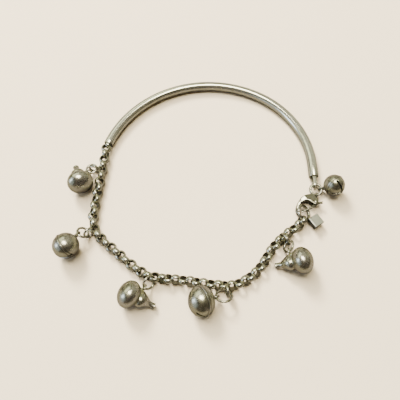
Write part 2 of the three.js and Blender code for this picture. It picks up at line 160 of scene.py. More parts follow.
def keep(name):
    """Ends the modelling of the active object: its place goes into its mesh."""
    bpy.ops.object.mode_set(mode="OBJECT")
    bpy.ops.object.transform_apply(location=True, rotation=True, scale=True)
    piece = bpy.context.object
    piece.name = piece.data.name = name
    return piece


def pick(kind, test):
    """Selects the vertices, edges or faces whose middle passes the test, and goes back to edit mode."""
    bpy.ops.object.mode_set(mode="EDIT")
    bpy.ops.mesh.select_mode(type=kind)
    bpy.ops.mesh.select_all(action="DESELECT")
    bpy.ops.object.mode_set(mode="OBJECT")
    mesh = bpy.context.object.data
    if kind == "FACE":
        for face in mesh.polygons:
            face.select = test(face.center)
    if kind == "EDGE":
        for edge in mesh.edges:
            a, b = (mesh.vertices[i].co for i in edge.vertices)
            edge.select = test((a + b) / 2)
    if kind == "VERT":
        for vertex in mesh.vertices:
            vertex.select = test(vertex.co)
    bpy.ops.object.mode_set(mode="EDIT")


def extrude(x, y, z):
    bpy.ops.mesh.extrude_region_move(TRANSFORM_OT_translate={"value": (x, y, z)})


def spin(steps, turn, centre, axis):
    """Turns the selection about an axis. The operator counts clockwise, so the angle goes in negative."""
    bpy.ops.mesh.spin(steps=steps, angle=-turn, center=centre, axis=axis)


def close_and_face_out():
    """Welds the seams, caps the open ends and points every face outwards."""
    bpy.ops.mesh.select_all(action="SELECT")
    bpy.ops.mesh.remove_doubles(threshold=WELD)
    bpy.ops.mesh.fill_holes(sides=0)
    bpy.ops.mesh.normals_make_consistent(inside=False)


def modify(piece, kind, **settings):
    """Adds a modifier and applies it at once."""
    bpy.context.view_layer.objects.active = piece
    modifier = piece.modifiers.new(kind.lower(), kind)
    for name, value in settings.items():
        setattr(modifier, name, value)
    bpy.ops.object.modifier_apply(modifier=modifier.name)


def soften_edges(piece, width, segments=2, angle=50):
    limit = math.radians(angle)
    modify(piece, "BEVEL", width=width, segments=segments, limit_method="ANGLE", angle_limit=limit)


def combine(piece, other, operation="UNION"):
    """Melts another piece into this one, or cuts it away."""
    modify(piece, "BOOLEAN", object=other, operation=operation, solver="EXACT")
    bpy.data.objects.remove(other)


def lay(piece, matrix):
    """Moves the mesh and not the object, which stays at the origin."""
    piece.data.transform(matrix)
    piece.data.update()
    return piece


def aim(direction):
    """The turn that carries +Z onto a direction."""
    return Vector((0, 0, 1)).rotation_difference(direction).to_matrix().to_4x4()


def heading(degrees, lift=0.0):
    """The direction at so many degrees from +X towards +Y, lifted off the table."""
    flat = math.cos(math.radians(lift))
    across = math.radians(degrees)
    return Vector((flat * math.cos(across), flat * math.sin(across), math.sin(math.radians(lift))))


def between_points(p, q, r, s, t):
    """The place a share t of the way from q to r, bent by the points before and after them."""
    square, cube = 2 * p - 5 * q + 4 * r - s, 3 * q - p - 3 * r + s
    return 0.5 * (2 * q + (r - p) * t + square * t**2 + cube * t**3)


def smooth_line(points, steps):
    """A round line through the points, with so many steps to each stretch."""
    before = [2 * p - q for p, q in zip(points[0], points[1])]
    after = [2 * p - q for p, q in zip(points[-1], points[-2])]
    ends = [before, *points, after]
    line = []
    for a, b, c, d in zip(ends, ends[1:], ends[2:], ends[3:]):
        for i in range(steps):
            line.append(tuple(between_points(*near, i / steps) for near in zip(a, b, c, d)))
    return [*line, tuple(points[-1])]


def mark_tarnish_and_shade(piece, test):
    """Writes 1 into the attribute at each vertex that passes the test: the metal is darker there, as
    tarnish and painted shade.
    """
    tarnish_and_shade = piece.data.attributes.new("tarnish_and_shade", "FLOAT", "POINT")
    for vertex, value in zip(piece.data.vertices, tarnish_and_shade.data):
        value.value = float(test(vertex.co))


pieces = []


def finish_piece(piece, node, slot, body="root", angle=35):
    """Smooths the shading and ties the piece to the frame: what it stands for and what it moves with."""
    clear_bench()
    piece.select_set(True)
    bpy.context.view_layer.objects.active = piece
    bpy.ops.object.shade_smooth_by_angle(angle=math.radians(angle))
    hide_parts(node)
    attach(piece, body)
    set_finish(piece, slot)
    pieces.append(piece)
    low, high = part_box(node)
    corners = [vertex.co for vertex in piece.data.vertices]
    mine_low = Vector([min(corner[i] for corner in corners) for i in range(3)])
    mine_high = Vector([max(corner[i] for corner in corners) for i in range(3)])
    off = max(*(abs(part) for part in mine_low - low), *(abs(part) for part in mine_high - high))
    print(f"{piece.name}: {len(piece.data.polygons)} faces, box within {off / MM:.2f} mm of {node}")


# %% [markdown]
# ## The floor
#
# A plain pale table carries the bracelet. It is far larger than the bracelet, so its edge doesn't show in
# the camera's view.

# %% Floor
FLOOR_SIZE = 3.0
FLOOR_GAP = 0.01 * MM
clear_bench()
bpy.ops.mesh.primitive_plane_add(size=FLOOR_SIZE, location=(0, 0, -FLOOR_GAP))
floor = bpy.context.object
floor.name = "floor"

# %% [markdown]
# ## The bent tube
#
# The tube is hollow and bent in two arcs, with a short straight end on the right. A circle of edges is
# its cross-section. Extruded once and spun twice it follows the bend exactly, and a Solidify modifier
# gives the wall its thickness, with a rim at each mouth.

# %% Tube
TUBE = {"outer": 2.6, "wall": 0.3, "edge": 0.07, "sides": 40}
MOUTH = {"x": 30.5, "y": 6.2, "straight": 3.8}
BENDS = table("radius sweep steps", (26.2, 60.0, 26), (29.6, 101.5, 44))


def tube_shell():
    middle = TUBE["outer"] / 2
    clear_bench()
    bpy.ops.mesh.primitive_circle_add(
        vertices=TUBE["sides"],
        radius=middle * MM,
        fill_type="NOTHING",
        location=in_mm(MOUTH["x"], MOUTH["y"], middle),
        rotation=(math.pi / 2, 0, 0),
    )
    edit_all()
    extrude(0, MOUTH["straight"] * MM, 0)
    x, y, angle = MOUTH["x"], MOUTH["y"] + MOUTH["straight"], 90.0
    for bend in BENDS:
        left = heading(angle + 90) * bend["radius"]
        centre = Vector((x, y, middle)) + left
        spin(bend["steps"], math.radians(bend["sweep"]), centre * MM, (0, 0, 1))
        angle += bend["sweep"]
        out = centre - heading(angle + 90) * bend["radius"]
        x, y = out.x, out.y
    bpy.ops.mesh.select_all(action="SELECT")
    bpy.ops.mesh.remove_doubles(threshold=WELD)
    bpy.ops.mesh.normals_make_consistent(inside=False)
    tube = keep("bangle")
    modify(tube, "SOLIDIFY", thickness=TUBE["wall"] * MM, offset=-1, use_rim=True)
    soften_edges(tube, TUBE["edge"] * MM, angle=60)
    far_mouth = Matrix.Translation(in_mm(x, y, middle)) @ turned(angle, "Z")
    return tube, far_mouth


tube, far_mouth = tube_shell()
near_mouth = Matrix.Translation(in_mm(MOUTH["x"], MOUTH["y"], TUBE["outer"] / 2)) @ turned(-90, "Z")
print("far mouth on the drawing, in mm:", [round(part / MM, 2) for part in far_mouth.translation])

# %% [markdown]
# ### The eye in each mouth
#
# A flat strip of silver is bent into a narrow hairpin and soldered into the mouth, and the first chain
# link or the end ring hangs in it. Four edges are the strip's section. They run out, turn round the
# bend and run back, and a small plug of solder ties both legs to the wall.

# %% Mouth eyes
EYES = {
    "near": {"across": 0.9, "height": 1.6, "reach": 3.2, "wall": 0.35},
    "far": {"across": 0.7, "height": 1.8, "reach": 1.28, "wall": 0.25},
}
EYE_EDGE = 0.05
HAIRPIN_STEPS = 16
PLUG = {"depth": 1.5, "across": 1.0, "height": 2.3, "back": 0.2, "edge": 0.15}


def hairpin(name, across, height, reach, wall):
    """A strip bent round in the XZ plane, standing out of the mouth along +X."""
    start = in_mm(-PLUG["depth"], 0, -(height - wall) / 2)
    clear_bench()
    bpy.ops.mesh.primitive_plane_add(size=MM, location=start, rotation=(0, math.pi / 2, 0))
    edit_all()
    bpy.ops.mesh.delete(type="ONLY_FACE")
    bpy.ops.mesh.select_all(action="SELECT")
    bpy.ops.transform.resize(value=(1, across, wall), orient_type="GLOBAL")
    run = (PLUG["depth"] + reach - height / 2) * MM
    extrude(run, 0, 0)
    spin(HAIRPIN_STEPS, math.pi, in_mm(reach - height / 2, 0, 0), (0, -1, 0))
    extrude(-run, 0, 0)
    close_and_face_out()
    strip = keep(name)
    soften_edges(strip, EYE_EDGE * MM)
    return strip


def solder_plug(name):
    middle = (PLUG["depth"] + PLUG["back"]) / 2
    length = PLUG["depth"] - PLUG["back"]
    clear_bench()
    bpy.ops.mesh.primitive_cube_add(size=MM, location=in_mm(-middle, 0, 0))
    edit_all()
    bpy.ops.transform.resize(value=(length, PLUG["across"], PLUG["height"]), orient_type="GLOBAL")
    bpy.ops.mesh.bevel(offset=PLUG["edge"] * MM, segments=3, affect="EDGES")
    return keep(name)


for end, mouth in (("near", near_mouth), ("far", far_mouth)):
    for part in (hairpin(f"eye_{end}", **EYES[end]), solder_plug(f"plug_{end}")):
        combine(tube, lay(part, mouth))
finish_piece(lay(tube, DRAWING), "bangle_tube", "polished_silver")

# %% [markdown]
# ## Wire rings
#
# A jump ring is a piece of round wire, wound once and closed until its ends meet. So a circle of edges,
# the wire's section, is spun nearly all the way round, and the fine saw cut stays open. The eyes that
# are soldered to the charms have no cut: they are spun the whole way and welded.

# %% A wound ring
SAW_CUT = 5
WIRE_SIDES = 14
RING_STEPS = 48
CUT_EDGE = 0.1
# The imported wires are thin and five-sided, to keep air around them. Each round wire is drawn this much
# thicker than its row in the table says.
FULLER = 0.14


def wound_ring(name, radius, wire, cut=0.0):
    """A ring round the Z axis. The cut, in degrees, is where the wire's two ends meet, at -X."""
    start = 180 + cut / 2
    clear_bench()
    bpy.ops.mesh.primitive_circle_add(
        vertices=WIRE_SIDES,
        radius=wire / 2 * MM,
        fill_type="NOTHING",
        location=turned(start, "Z") @ in_mm(radius, 0, 0),
        rotation=(math.pi / 2, 0, math.radians(start)),
    )
    edit_all()
    spin(RING_STEPS, math.radians(360 - cut), (0, 0, 0), (0, 0, 1))
    close_and_face_out()
    ring = keep(name)
    if cut:
        soften_edges(ring, wire * CUT_EDGE * MM, angle=60)
    return ring


# %% [markdown]
# ### Where the rings lie
#
# Each row holds a ring's middle, the radius to the middle of its wire, the wire, and the way it leans:
# its axis is tipped off upright by `lean` degrees, towards `heading`.

# %% Jump rings
RINGS = table(
    "name at radius wire lean heading",
    ("end_ring", (30.72, 2.52, 1.05), 1.45, 0.58, 10, -82),
    ("clasp_ring", (26.68, -4.35, 1.56), 1.93, 0.62, 36, -5),
    ("gourd_upper_ring_a", (-28.23, 8.34, 1.77), 1.46, 0.44, 88, 82),
    ("gourd_upper_ring_b", (-29.05, 8.07, 2.31), 1.35, 0.44, 8, 141),
    ("bell_left_ring_a", (-29.3, -9.85, 2.12), 1.4, 0.44, 36, 32),
    ("bell_left_ring_b", (-27.92, -9.73, 1.65), 1.3, 0.44, 75, -45),
    ("gourd_lower_ring_a", (-12.09, -22.37, 2.02), 1.66, 0.4, 60, -35),
    ("bell_lower_ring_a", (5.61, -25.49, 2.05), 1.9, 0.44, 34, 92),
    ("bell_lower_ring_b", (6.35, -24.25, 1.89), 1.4, 0.44, 86, -166),
    ("gourd_right_ring_a", (21.89, -13.38, 1.91), 1.46, 0.44, 55, 165),
    ("gourd_right_ring_b", (21.43, -11.47, 1.88), 1.5, 0.44, 81, 33),
)

for row in RINGS:
    ring = wound_ring(f"jump_{row['name']}", row["radius"], row["wire"] + FULLER, SAW_CUT)
    place = Matrix.Translation(in_mm(*row["at"])) @ aim(heading(row["heading"], 90 - row["lean"]))
    finish_piece(lay(ring, DRAWING @ place), row["name"], "polished_silver")

# %% [markdown]
# ## The belcher chain
#
# A belcher chain is made of round links of half-round wire: flat inside, domed outside. The link is
# modelled once. A circle is flattened to the wire's section, the inner half is cut away, and what is
# left is spun round the link's axis. Then it is copied, and every copy is turned and set on the route.
# Its flat inside is darker, as tarnish and as painted shade in the gaps between the links, so its vertices
# carry the value 1 in an attribute, which the metal reads later.
#
# The links are larger and broader than the imported ones, which keep air between them. How high a link
# lies is still worked out from a narrower band, `rest_width`, and its flat crown, `rest_crown`.

# %% One link
LINK = {"outer": 2.76, "radial": 0.55, "band": 1.46, "rest_width": 0.96, "rest_crown": 0.54}
LINK_SIDES = 12
LINK_STEPS = 22
TARNISH_AND_SHADE_DEPTH = 0.05


def belcher_link():
    inside = LINK["outer"] / 2 - LINK["radial"]
    clear_bench()
    bpy.ops.mesh.primitive_circle_add(
        vertices=LINK_SIDES,
        radius=LINK["band"] / 2 * MM,
        fill_type="NOTHING",
        location=in_mm(inside, 0, 0),
        rotation=(math.pi / 2, 0, 0),
    )
    edit_all()
    bpy.ops.transform.resize(value=(LINK["radial"] / (LINK["band"] / 2), 1, 1), orient_type="GLOBAL")
    bpy.ops.mesh.bisect(plane_co=in_mm(inside, 0, 0), plane_no=(1, 0, 0), clear_inner=True)
    bpy.ops.mesh.select_all(action="SELECT")
    bpy.ops.mesh.edge_face_add()
    bpy.ops.mesh.delete(type="ONLY_FACE")
    bpy.ops.mesh.select_all(action="SELECT")
    spin(LINK_STEPS, 2 * math.pi, (0, 0, 0), (0, 0, 1))
    close_and_face_out()
    made = keep("link")
    # The flat inside is marked for the darker colour: tarnish and painted shade.
    mark_tarnish_and_shade(made, lambda at: at.xy.length < (inside + TARNISH_AND_SHADE_DEPTH) * MM)
    return made


link = belcher_link()
print("one link has", len(link.data.polygons), "faces")

# %% [markdown]
# ### The route on the table
#
# The chain leaves the far mouth of the tube, runs down the left side, sags through two corners where the
# charms pull it, and climbs to the clasp's ring. `roll` is how far every second link's axis is tipped
# off upright: at 0 the links lie flat and stand on edge by turns, at 45 they lie like a row of roofs.

# %% The route
ROUTE = table(
    "x y roll",
    (-25.93, 15.05, 0),
    (-26.2, 11.0, 0),
    (-26.7, 5.0, 30),
    (-27.2, -1.5, 45),
    (-27.3, -6.6, 25),
    (-25.6, -10.3, 5),
    (-20.2, -15.1, 5),
    (-14.4, -19.6, 5),
    (-10.6, -21.05, 20),
    (-4.0, -21.7, 45),
    (3.0, -22.7, 45),
    (7.2, -22.95, 45),
    (9.7, -22.3, 45),
    (12.1, -20.9, 45),
    (14.2, -19.1, 45),
    (15.9, -16.9, 45),
    (17.5, -14.4, 45),
    (19.5, -12.1, 45),
    (22.6, -9.4, 45),
    (24.6, -8.1, 48),
    (26.1, -6.3, 56),
    (26.8, -4.8, 56),
)
STEPS_PER_POINT = 40
LINKS = 53
LINKS_PER_STRETCH = 4
PITCH = {"joined": 1.787, "loose": 1.42}
HALVINGS = 30
CHAIN_LIFT = 0.06
LAST_LINK_LIFT = 0.14


def link_middles(line, count):
    """Walks along the route and stops one pitch beyond the last middle each time."""
    middles = [Vector(line[0])]
    place = 0
    while len(middles) < count:
        last = middles[-1]
        step = PITCH["joined"] if len(middles) % LINKS_PER_STRETCH else PITCH["loose"]
        while place + 2 < len(line) and (Vector(line[place + 1]) - last).xy.length < step:
            place += 1
        a, b = Vector(line[place]), Vector(line[place + 1])
        near, far = 0.0, 1.0
        for _ in range(HALVINGS):
            half = (near + far) / 2
            if (a.lerp(b, half) - last).xy.length < step:
                near = half
            else:
                far = half
        middles.append(a.lerp(b, far))
    return middles


def rest_height(lean):
    """How high a link's middle lies over the table when its axis leans that far."""
    outer = LINK["outer"] / 2
    inner = outer - LINK["radial"]
    sine, cosine = abs(math.sin(math.radians(lean))), abs(math.cos(math.radians(lean)))
    on_crown = outer * sine + LINK["rest_crown"] / 2 * cosine
    return max(on_crown, inner * sine + LINK["rest_width"] / 2 * cosine)


def link_place(middles, i):
    """The matrix that sets link i on the route, its axis square to the route."""
    before, after = middles[max(i - 1, 0)], middles[i + 1]
    along = Vector((after.x - before.x, after.y - before.y, 0)).normalized()
    side = Vector((-along.y, along.x, 0))
    lean = middles[i].z
    roll = math.radians(lean + 90 * (i % 2))
    axis = Vector((0, 0, math.cos(roll))) + side * math.sin(roll)
    height = max(rest_height(lean), rest_height(90 - lean)) + CHAIN_LIFT
    if i == LINKS - 1:
        height += LAST_LINK_LIFT
    place = Matrix((along, axis.cross(along), axis)).transposed().to_4x4()
    place.translation = Vector((middles[i].x, middles[i].y, height)) * MM
    return place


line = smooth_line([(row["x"], row["y"], row["roll"]) for row in ROUTE], STEPS_PER_POINT)
middles = link_middles(line, LINKS + 1)
steps = [(b - a).xy.length for a, b in zip(middles, middles[1:])]
print("the chain's", LINKS, "links run", round(sum(steps), 1), "mm")

# %% [markdown]
# ### Setting the links
#
# Every link is a copy with its own mesh. The links of a short stretch are joined into one piece, as the
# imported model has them.

# %% Links in stretches
for first in range(0, LINKS, LINKS_PER_STRETCH):
    copies = []
    for i in range(first, min(first + LINKS_PER_STRETCH, LINKS)):
        copy = bpy.data.objects.new("link_copy", link.data.copy())
        bpy.context.scene.collection.objects.link(copy)
        copies.append(lay(copy, DRAWING @ link_place(middles, i)))
    clear_bench()
    for copy in copies:
        copy.select_set(True)
    bpy.context.view_layer.objects.active = copies[0]
    if len(copies) > 1:
        bpy.ops.object.join()
    number = f"{first // LINKS_PER_STRETCH + 1:02d}"
    copies[0].name = copies[0].data.name = f"links_{number}"
    finish_piece(copies[0], f"chain_{number}", "chain_silver", angle=50)
bpy.data.objects.remove(link)

# %% [markdown]
# ## The gourds
#
# A gourd charm is raised from two thin shells: a round bulb, a waist, a small bud, and an open stem at
# the end. A sphere is the bulb. Its top is taken off, and the open edge is pulled up and drawn in ring by
# ring, as on a spinning lathe. The first ring of that profile lies on the sphere. A Solidify modifier then
# gives the wall, and an eye is soldered on beside the waist with beads of solder.

# %% A gourd
GOURD = {"centre": 3.15, "bulb": 3.3, "half": 2.6, "at": -0.4, "wall": 0.35, "lean": 21.5}
GOURD_SIDES = 48
GOURD_RINGS = 40
GOURD_EDGE = 0.08
# The radius and the height of each ring of the drawn-up top.
GOURD_TOP = [
    (1.94, 1.703),
    (1.8, 1.82),
    (1.78, 1.97),
    (1.85, 2.18),
    (1.94, 2.5),
    (1.92, 2.85),
    (1.77, 3.25),
    (1.5, 3.7),
    (1.2, 4.1),
    (0.94, 4.5),
    (0.76, 4.85),
    (0.68, 5.3),
    (0.72, 5.9),
    (0.8, 6.2),
]
GOURD_TOP_STEPS = 4
GOURD_EYE = {"radius": 0.75, "wire": 0.5, "along": 2.2, "out": 2.75}
GOURD_SOLDER = table("along out radius", (1.8, 1.75, 0.62), (1.45, 2.2, 0.42), (2.65, 1.75, 0.4))
GOURDS = table(
    "name x y heading side",
    ("gourd_upper", -31.43, 4.04, 114, -1),
    ("gourd_lower", -16.11, -25.51, -22.9, 1),
    ("gourd_right", 24.21, -17.38, 187, -1),
)
BEAD_SIDES = 20
BEAD_RINGS = 12
# The charms are modelled with their own axis upright; this turn lays that axis along +X.
LIE_DOWN = turned(90, "Y")


def draw_in(profile):
    """Pulls the selected open edge up the Z axis, to each radius and height in turn."""
    for (radius, height), (wide, high) in zip(profile, profile[1:]):
        wider = wide / radius
        extrude(0, 0, (high - height) * MM)
        bpy.ops.transform.resize(value=(wider, wider, 1), center_override=in_mm(0, 0, high))


def ball(radius, sides, rings, x=0, y=0, z=0):
    size = {"segments": sides, "ring_count": rings, "radius": radius * MM}
    clear_bench()
    bpy.ops.mesh.primitive_uv_sphere_add(**size, location=in_mm(x, y, z))


def solder(radius, x, y, z):
    """A round bead of solder."""
    ball(radius, BEAD_SIDES, BEAD_RINGS, x, y, z)
    return keep("solder")


def gourd_shell(name):
    ball(GOURD["bulb"], GOURD_SIDES, GOURD_RINGS)
    edit_all()
    bpy.ops.transform.resize(value=(1, 1, GOURD["half"] / GOURD["bulb"]))
    bpy.ops.transform.translate(value=in_mm(0, 0, GOURD["at"]))
    rim = GOURD_TOP[0][1] * MM
    pick("FACE", lambda at: at.z > rim)
    bpy.ops.mesh.delete(type="FACE")
    pick("VERT", lambda at: at.z > rim - NEARLY)
    draw_in(smooth_line(GOURD_TOP, GOURD_TOP_STEPS))
    gourd = keep(name)
    print(name, "shell has", len(gourd.data.polygons), "faces")
    modify(gourd, "SOLIDIFY", thickness=GOURD["wall"] * MM, offset=-1, use_rim=True)
    soften_edges(gourd, GOURD_EDGE * MM, angle=60)
    return gourd


for row in GOURDS:
    gourd = gourd_shell(row["name"].replace("gourd", "charm_gourd"))
    eye = wound_ring("eye", GOURD_EYE["radius"], GOURD_EYE["wire"])
    lay(eye, Matrix.Translation(in_mm(0, row["side"] * GOURD_EYE["out"], GOURD_EYE["along"])))
    combine(gourd, eye)
    for bead in GOURD_SOLDER:
        combine(gourd, solder(bead["radius"], 0, row["side"] * bead["out"], bead["along"]))
    place = Matrix.Translation(in_mm(row["x"], row["y"], GOURD["centre"]))
    place = place @ turned(row["heading"], "Z") @ turned(GOURD["lean"], "Y") @ LIE_DOWN
    finish_piece(lay(gourd, DRAWING @ place), row["name"], "polished_silver")

# %% [markdown]
# ## The bells
#
# A small bell is two half shells soldered rim to rim, and the seam stands proud as a thin ridge. Then it
# is sawn open. On a sphere, the middle edge loop is bevelled into a band and pushed out for the seam.
# The slot's two edges and its end are cut with the Bisect tool, the strip between them is taken out, and
# a Solidify modifier gives the wall and the slot's inner faces in one go. The bell at the clasp is sawn
# twice, crosswise.
#
# Such charms are made by hand, so the eye, the shell and the saw each point their own way. Each way is a
# heading, a rise over the table, and a roll about that direction. `reach` is how far past the bell's
# middle the slot runs along the saw's way, in radii.

# %% A bell
BELL = {"wall": 0.35, "ridge": 0.1, "ridge_half": 0.17, "crease": 0.15, "slot": 0.5, "edge": 0.05}
BELL_SIDES = 56
BELL_RINGS = 32
BELL_EYE = {"radius": 0.75, "wire": 0.44, "stand_off": 0.62, "solder": 0.55}
BELLS = table(
    "name at radius stretch eye shell saws reach",
    ("bell_left", (-32.7, -13.6, 3.3), 3.15, 1.04, (51, -5, 0), (35, 14, 79), [(35, 14, 79)], 0.15),
    ("bell_lower", (0.35, -27.0, 3.4), 3.15, 1.16, (19, -21, 0), (25, -28, 27), [(106, -2, 304)], -0.75),
    (
        "bell_clasp", (35.0, 2.85, 3.1), 2.7, 1.1, (182, -35, 0), (125, -17, 85),
        [(125, -17, 85), (125, -17, 175)], -0.3,
    ),
)


def pointed(across, up, roll):
    """The turn that lays a charm's upright axis along a heading and rise."""
    return turned(across, "Z") @ turned(-up, "Y") @ turned(roll, "X") @ LIE_DOWN


def saw_slot(radius, saw, reach):
    """Takes a strip out of the shell, as wide as the slot, from behind up to the saw's reach."""
    blade = saw.to_3x3() @ Vector((0, 1, 0))
    back = saw.to_3x3() @ Vector((0, 0, 1))
    half = BELL["slot"] / 2 * MM
    end = radius * reach * MM
    for place, normal in ((-half * blade, blade), (half * blade, blade), (end * back, back)):
        edit_all()
        bpy.ops.mesh.bisect(plane_co=place, plane_no=normal)
    pick("FACE", lambda at: abs(at @ blade) < half and at @ back < end)
    bpy.ops.mesh.delete(type="FACE")
    bpy.ops.object.mode_set(mode="OBJECT")


def bell_shell(name, radius, stretch, shell, saws, reach):
    ball(radius, BELL_SIDES, BELL_RINGS)
    pick("EDGE", lambda at: abs(at.z) < NEARLY)
    bpy.ops.mesh.bevel(offset=BELL["ridge_half"] * MM, segments=1, affect="EDGES")
    pick("FACE", lambda at: abs(at.z) < NEARLY)
    bpy.ops.mesh.extrude_region_shrink_fatten(TRANSFORM_OT_shrink_fatten={"value": BELL["ridge"] * MM})
    edit_all()
    bpy.ops.transform.resize(value=(1, stretch, 1))
    made = keep(name)
    crease = (BELL["ridge_half"] + BELL["crease"]) * MM
    proud = (radius + BELL["ridge"] / 2) * MM
    mark_tarnish_and_shade(made, lambda at: abs(at.z) < crease and Vector((at.x, at.y / stretch)).length < proud)
    lay(made, pointed(*shell))
    for saw in saws:
        saw_slot(radius, pointed(*saw), reach)
    print(name, "is", [round(side / MM, 2) for side in made.dimensions], "mm before its wall")
    modify(made, "SOLIDIFY", thickness=BELL["wall"] * MM, offset=-1, use_rim=True)
    soften_edges(made, BELL["edge"] * MM)
    return made


for row in BELLS:
    form = {key: row[key] for key in ("radius", "stretch", "shell", "saws", "reach")}
    bell = bell_shell(row["name"].replace("bell", "charm_bell"), **form)
    eye_way = pointed(*row["eye"])
    eye = wound_ring("eye", BELL_EYE["radius"], BELL_EYE["wire"])
    stand = in_mm(0, 0, row["radius"] + BELL_EYE["stand_off"])
    combine(bell, lay(eye, eye_way @ Matrix.Translation(stand) @ turned(90, "X")))
    combine(bell, lay(solder(BELL_EYE["solder"], 0, 0, row["radius"]), eye_way))
    finish_piece(lay(bell, DRAWING @ Matrix.Translation(in_mm(*row["at"]))), row["name"], "polished_silver")

# %% [markdown]
# ## Outlines drawn point by point
#
# The clasp and its lever are flat castings with a free outline. One vertex is extruded from point to
# point, the line is filled, and the face is pulled up to the casting's height.

# %% Drawing an outline


def cut_from_outline(name, points, height):
    """Draws a closed outline in XY by extruding one vertex, fills it and pulls it up along Z."""
    clear_bench()
    bpy.ops.mesh.primitive_plane_add(size=MM)
    edit_all()
    bpy.ops.mesh.merge(type="CENTER")
    places = [in_mm(*point) for point in points]
    bpy.ops.transform.translate(value=places[0])
    for before, after in zip(places, places[1:]):
        bpy.ops.mesh.extrude_vertices_move(TRANSFORM_OT_translate={"value": after - before})
    bpy.ops.mesh.select_all(action="SELECT")
    bpy.ops.mesh.edge_face_add()
    extrude(0, 0, height * MM)
    bpy.ops.mesh.select_all(action="SELECT")
    bpy.ops.mesh.normals_make_consistent(inside=False)
    return keep(name)


# %% [markdown]
# ## The lobster clasp
#
# The body is one casting: a wide back that holds the lever, and a hook that comes round to a blunt tip.
# It is cut out of a block by its plan and its side view. A cast surface has no sharp edge, so the block
# is remeshed finely and smoothed, and only then the lever's slot is sawn, the pin set and the tail eye
# added.

# %% Clasp body
# The block stands `spare` above the casting, and the side view takes that off. The pin runs from `foot`
# above the underside to `head` above the top.
BODY = {"low": 0.12, "high": 2.4, "spare": 0.2}
LEVER = {"low": 1.45, "high": 1.92, "root": 0.6, "gap": 0.15, "edge": 0.09}
PIN = {"radius": 0.3, "hole": 0.42, "foot": 0.5, "head": 0.04, "sides": 28, "edge": 0.25}
TAIL_EYE = {"x": -0.43, "y": -0.35, "z": 0.84, "radius": 0.6, "wire": 0.38, "turn": 56}
SLOT = {"long": 3.4, "wide": 2.6, "out": 0.45}
SIDE_DEPTH = 8
GRAIN = 0.075
SMOOTHING = {"factor": 0.5, "iterations": 26}
OUTLINE_STEPS = 4
OUTER_EDGE = [
    (-0.1, -0.2),
    (1.0, -0.95),
    (2.0, -1.55),
    (3.5, -1.85),
    (5.07, -1.4),
    (6.4, -0.55),
    (7.2, 0.45),
    (7.3, 1.55),
    (6.85, 1.85),
]
INNER_EDGE = [(6.62, 1.4), (6.5, 0.6), (6.05, -0.1), (4.9, -0.6), (3.5, -0.5), (2.75, 0.2)]
LEVER_SEAT = [(2.55, 1.0), (2.25, 1.75), (1.5, 1.95), (0.8, 1.35), (0.0, 0.4)]
SIDE_VIEW = [
    (-0.5, 0.52),
    (0.6, 0.12),
    (6.6, 0.12),
    (7.6, 0.47),
    (7.6, 1.2),
    (6.4, 1.6),
    (5.2, 1.75),
    (3.2, 2.4),
    (0.8, 2.4),
    (-0.5, 1.4),
]


def post(name, radius, low, high):
    """An upright round post at the lever's pin."""
    clear_bench()
    bpy.ops.mesh.primitive_cylinder_add(
        vertices=PIN["sides"],
        radius=radius * MM,
        depth=(high - low) * MM,
        location=in_mm(LEVER_PIN["x"], LEVER_PIN["y"], (low + high) / 2),
    )
    made = keep(name)
    soften_edges(made, radius * PIN["edge"] * MM, angle=60)
    return made


def block(name, middle, sides):
    clear_bench()
    bpy.ops.mesh.primitive_cube_add(size=MM, location=in_mm(*middle))
    edit_all()
    bpy.ops.transform.resize(value=sides)
    return keep(name)


def clasp_body():
    edges = [point for edge in (OUTER_EDGE, INNER_EDGE) for point in smooth_line(edge, OUTLINE_STEPS)]
    body = cut_from_outline("clasp_casting", [*edges, *LEVER_SEAT], BODY["high"] + BODY["spare"])
    side = cut_from_outline("side_view", SIDE_VIEW, SIDE_DEPTH)
    stand = Matrix.Translation(in_mm(0, SIDE_DEPTH / 2, 0)) @ turned(90, "X")
    combine(body, lay(side, stand), "INTERSECT")
    modify(body, "REMESH", mode="VOXEL", voxel_size=GRAIN * MM)
    modify(body, "SMOOTH", **SMOOTHING)
    middle = (LEVER["low"] + LEVER["high"]) / 2
    high = LEVER["high"] - LEVER["low"] + 2 * LEVER["gap"]
    slot_at = (LEVER_PIN["x"], LEVER_PIN["y"] + SLOT["out"], middle)
    combine(body, block("slot", slot_at, (SLOT["long"], SLOT["wide"], high)), "DIFFERENCE")
    combine(body, post("pin", PIN["radius"], BODY["low"] + PIN["foot"], BODY["high"] + PIN["head"]))
    eye = wound_ring("tail_eye", TAIL_EYE["radius"], TAIL_EYE["wire"])
    stand = turned(TAIL_EYE["turn"], "Z") @ turned(90, "X")
    lay(eye, Matrix.Translation(in_mm(TAIL_EYE["x"], TAIL_EYE["y"], TAIL_EYE["z"])) @ stand)
    combine(body, eye)
    return body


finish_piece(lay(clasp_body(), DRAWING @ clasp_on_drawing), "clasp_body", "cast_silver")

# %% [markdown]
# ### The lever
#
# The lever turns on the pin, reaches across the mouth to the hook's tip, and has a small forked nub for
# the thumbnail. It rides on its own body, because it is the one hard piece that moves.

# %% Clasp lever
LEVER_ARM = [
    (2.6, 1.45),
    (3.8, 1.46),
    (5.0, 1.42),
    (5.7, 1.22),
    (6.15, 1.0),
    (6.26, 1.24),
    (6.2, 1.5),
    (5.2, 1.85),
    (4.1, 2.02),
    (3.0, 2.1),
    (1.5, 2.1),
]
LEVER_NUB = [
    (0.75, 2.32),
    (0.3, 2.62),
    (0.1, 2.55),
    (0.32, 2.32),
    (0.1, 2.25),
    (-0.1, 2.3),
    (-0.15, 2.12),
    (0.8, 1.75),
]
LEVER_ROOT = {"start": 170, "sweep": 130, "steps": 12}
ARM_STEPS = 3
HOLE_PAST = 1


def lever_root(start, sweep, steps):
    """The round root, from the nub's side to the arm's side."""
    points = []
    for i in range(steps + 1):
        angle = math.radians(start + sweep * i / steps)
        points.append((
            LEVER_PIN["x"] + LEVER["root"] * math.cos(angle),
            LEVER_PIN["y"] + LEVER["root"] * math.sin(angle),
        ))
    return points


